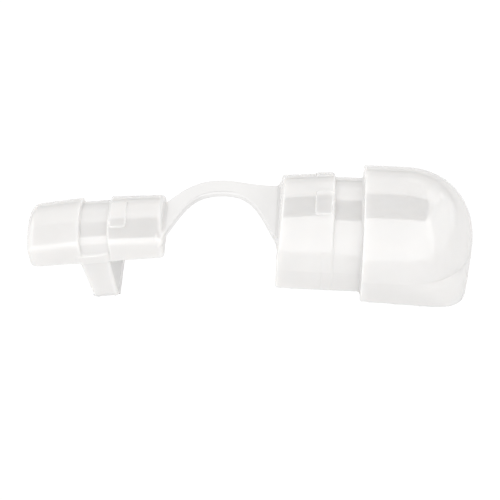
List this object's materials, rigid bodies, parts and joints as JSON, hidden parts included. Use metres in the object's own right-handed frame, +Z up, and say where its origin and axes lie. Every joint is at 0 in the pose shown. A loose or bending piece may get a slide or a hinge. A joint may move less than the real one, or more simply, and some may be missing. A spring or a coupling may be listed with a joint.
{
  "type": "right-angle cord strain-relief bushing",
  "caption": "Moulded nylon elbow strain-relief bushing, unfolded: a domed hood half and a clamp half with a grip finger on a living strap.",
  "frame": {"origin": "centre of the bounding box at the surface that the part rests on", "axes": "+X from the clamp half towards the hood half, +Y towards the strap's bow, +Z up"},
  "size_m": [0.0486, 0.0154, 0.0124],
  "materials": {
    "natural_nylon": "natural milky translucent nylon, smooth moulded gloss",
    "strap_nylon": "natural milky translucent nylon, thin and slightly clearer"
  },
  "bodies": {
    "hood_half": {"hood_dome": "natural_nylon", "hood_skirt": "natural_nylon", "hood_flange": "natural_nylon", "shank_collar": "natural_nylon", "shank_barrel": "natural_nylon", "strap_gusset": "natural_nylon", "hood_saddle": "natural_nylon", "shank_rib_1": "natural_nylon", "shank_rib_2": "natural_nylon", "shank_pad_1": "natural_nylon", "shank_pad_2": "natural_nylon", "strap_root_hood": "strap_nylon"},
    "strap_middle": {"strap_bow": "strap_nylon"},
    "clamp_half": {"strap_root_clamp": "strap_nylon", "clamp_barrel": "natural_nylon", "clamp_collar": "natural_nylon", "clamp_head": "natural_nylon", "clamp_pad": "natural_nylon", "grip_finger": "natural_nylon", "grip_tooth_1": "natural_nylon", "grip_tooth_2": "natural_nylon", "clamp_rear_web": "natural_nylon", "clamp_head_web": "natural_nylon"}
  },
  "joints": [
    {"name": "strap_bend_hood", "type": "hinge", "parent": "hood_half", "child": "strap_middle", "pos_m": [0.00044, 0, 0.00802], "axis": [0, -1, 0], "range_deg": [-12, 85.6], "stiffness_Nm_per_rad": 0.005},
    {"name": "strap_bend_clamp", "type": "hinge", "parent": "strap_middle", "child": "clamp_half", "pos_m": [-0.00636, 0, 0.00813], "axis": [0, -1, 0], "range_deg": [-12, 85.6], "stiffness_Nm_per_rad": 0.005}
  ],
  "couplings": [
    {"joint": "strap_bend_clamp", "follows": "strap_bend_hood", "ratio": 1}
  ]
}
